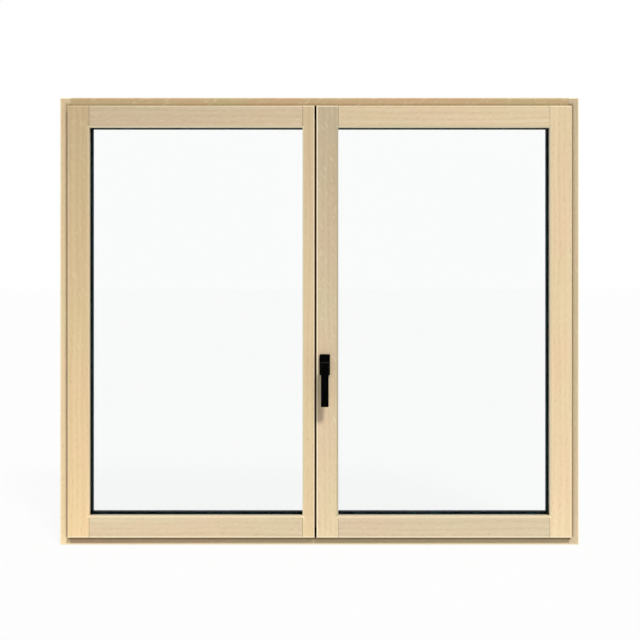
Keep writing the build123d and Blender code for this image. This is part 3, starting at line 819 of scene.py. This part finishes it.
def floor_material():
    """Pale floor that the camera sees as white, with a light shadow under the object."""
    material, writer = empty_material("Studio floor")
    matt = writer.add("ShaderNodeBsdfDiffuse", {"Color": (0.8, 0.8, 0.8, 1.0)})
    faint = writer.add("ShaderNodeBsdfDiffuse", {"Color": (0.06, 0.06, 0.06, 1.0)})
    glow = writer.add("ShaderNodeEmission", {"Color": (1.0, 1.0, 1.0, 1.0), "Strength": 0.925})
    white = writer.add("ShaderNodeAddShader", {0: faint.outputs[0], 1: glow.outputs[0]})
    seen = seen_directly(writer)
    both = writer.add("ShaderNodeMixShader", {0: seen, 1: matt.outputs[0], 2: white.outputs[0]})
    writer.add("ShaderNodeOutputMaterial", {"Surface": both.outputs[0]})
    return material


def card_material():
    """Dark face that only reflections see, and that lets every other ray through."""
    material, writer = empty_material("Studio card")
    dark = writer.add("ShaderNodeEmission", {"Color": (0.02, 0.022, 0.022, 1.0), "Strength": 1.0})
    clear = writer.add("ShaderNodeBsdfTransparent")
    path = writer.add("ShaderNodeLightPath").outputs
    mirrored = writer.math("MINIMUM", path["Glossy Depth"], 1.0)
    both = writer.add("ShaderNodeMixShader", {0: mirrored, 1: clear.outputs[0], 2: dark.outputs[0]})
    writer.add("ShaderNodeOutputMaterial", {"Surface": both.outputs[0]})
    return material


class WINDOW_OT_stage(bpy.types.Operator):
    """Set up the floor, the light and the camera"""

    bl_idname = "window.stage"
    bl_label = "Stage"

    def execute(self, context):
        self.make_floor()
        self.make_cards()
        self.make_light(context)
        self.make_world(context)
        self.make_camera(context)
        context.scene.view_settings.view_transform = "Standard"
        return {"FINISHED"}

    def make_floor(self):
        bpy.ops.object.select_all(action="DESELECT")
        bpy.ops.mesh.primitive_plane_add(size=FLOOR_SIZE, location=(0.0, 0.0, 0.0))
        floor = bpy.context.active_object
        floor.name = "studio_floor"
        floor.data.materials.append(floor_material())

    def make_cards(self):
        """Dark cards behind the camera and on the floor, which show in reflections alone."""
        black = card_material()
        for name, location, turn, size in CARDS:
            bpy.ops.object.select_all(action="DESELECT")
            bpy.ops.mesh.primitive_plane_add(size=1.0, location=location)
            card = bpy.context.active_object
            card.name = name
            card.scale = size
            card.rotation_euler = (turn, 0.0, 0.0)
            card.data.materials.append(black)
            for ray in ("camera", "diffuse", "volume_scatter", "shadow"):
                setattr(card, f"visible_{ray}", False)

    def make_light(self, context):
        look = context.scene.window_stage
        # The key light comes from the upper right indoors: the shadows under the sashes give its slope.
        towards = Vector((0.34, -1.0, 1.02))
        data = bpy.data.lights.new("key_light", "SUN")
        data.energy = look.key_strength
        data.angle = look.key_angle
        data.color = (1.0, 0.985, 0.955)
        key = bpy.data.objects.new("key_light", data)
        key.rotation_euler = towards.to_track_quat("Z", "Y").to_euler()
        key.location = towards * KEY_DISTANCE
        context.scene.collection.objects.link(key)

    def make_world(self, context):
        look = context.scene.window_stage
        world = bpy.data.worlds.new("Studio")
        context.scene.world = world
        world.use_nodes = True
        world.node_tree.nodes.clear()
        writer = NodeWriter(world.node_tree)
        white = (1.0, 1.0, 1.0, 1.0)
        light = writer.add("ShaderNodeBackground", {"Color": white, "Strength": look.fill_strength})
        shown = writer.add("ShaderNodeBackground", {"Color": white, "Strength": 1.0})
        seen = seen_directly(writer)
        both = writer.add("ShaderNodeMixShader", {0: seen, 1: light.outputs[0], 2: shown.outputs[0]})
        writer.add("ShaderNodeOutputWorld", {"Surface": both.outputs[0]})

    def make_camera(self, context):
        look = context.scene.window_stage
        # Where the middle of the frame's face falls in the picture, which is IMAGE_SIZE wide and high.
        middle_column, middle_row = 319.55, 321.3
        data = bpy.data.cameras.new("camera")
        data.sensor_width = 36.0
        data.lens = data.sensor_width * look.eye_distance / (IMAGE_SIZE * look.pixel_size)
        eye_column = middle_column + look.eye_side / look.pixel_size
        eye_row = middle_row - (look.eye_height - window_top / 2) / look.pixel_size
        data.shift_x = (IMAGE_SIZE / 2 - eye_column) / IMAGE_SIZE
        data.shift_y = (eye_row - IMAGE_SIZE / 2) / IMAGE_SIZE
        data.clip_end = 100.0
        camera = bpy.data.objects.new("camera", data)
        camera.location = (look.eye_side, frame_face_y - look.eye_distance, look.eye_height)
        camera.rotation_euler = (math.pi / 2, 0.0, 0.0)
        context.scene.collection.objects.link(camera)
        context.scene.camera = camera


class WINDOW_PT_panel(bpy.types.Panel):
    """Sizes, colours and steps of the window"""

    bl_label = "Window"
    bl_idname = "WINDOW_PT_panel"
    bl_space_type = "VIEW_3D"
    bl_region_type = "UI"
    bl_category = "Window"

    def draw(self, context):
        for name in SETTINGS:
            box = self.layout.box()
            settings = getattr(context.scene, name)
            for key in settings.bl_rna.properties.keys():
                if key not in ("rna_type", "name"):
                    box.prop(settings, key)
        for step in STEPS:
            self.layout.operator(step.bl_idname)


SETTINGS = {
    "window_oak": OakSettings,
    "window_covers": CoverSettings,
    "window_glass": GlassSettings,
    "window_handle": HandleSettings,
    "window_stage": StageSettings,
}
STEPS = (
    WINDOW_OT_effects,
    WINDOW_OT_oak,
    WINDOW_OT_covers,
    WINDOW_OT_glazing,
    WINDOW_OT_hardware,
    WINDOW_OT_handle,
    WINDOW_OT_stage,
)
CLASSES = (*SETTINGS.values(), *STEPS, WINDOW_PT_panel)


def register():
    for cls in CLASSES:
        bpy.utils.register_class(cls)
    for name, settings in SETTINGS.items():
        setattr(bpy.types.Scene, name, PointerProperty(type=settings))


def unregister():
    for name in SETTINGS:
        delattr(bpy.types.Scene, name)
    for cls in reversed(CLASSES):
        bpy.utils.unregister_class(cls)


def main():
    register()
    bpy.ops.window.effects()
    bpy.ops.window.oak()
    bpy.ops.window.covers()
    bpy.ops.window.glazing()
    bpy.ops.window.hardware()
    bpy.ops.window.handle()
    bpy.ops.window.stage()


if __name__ == "__main__":
    main()
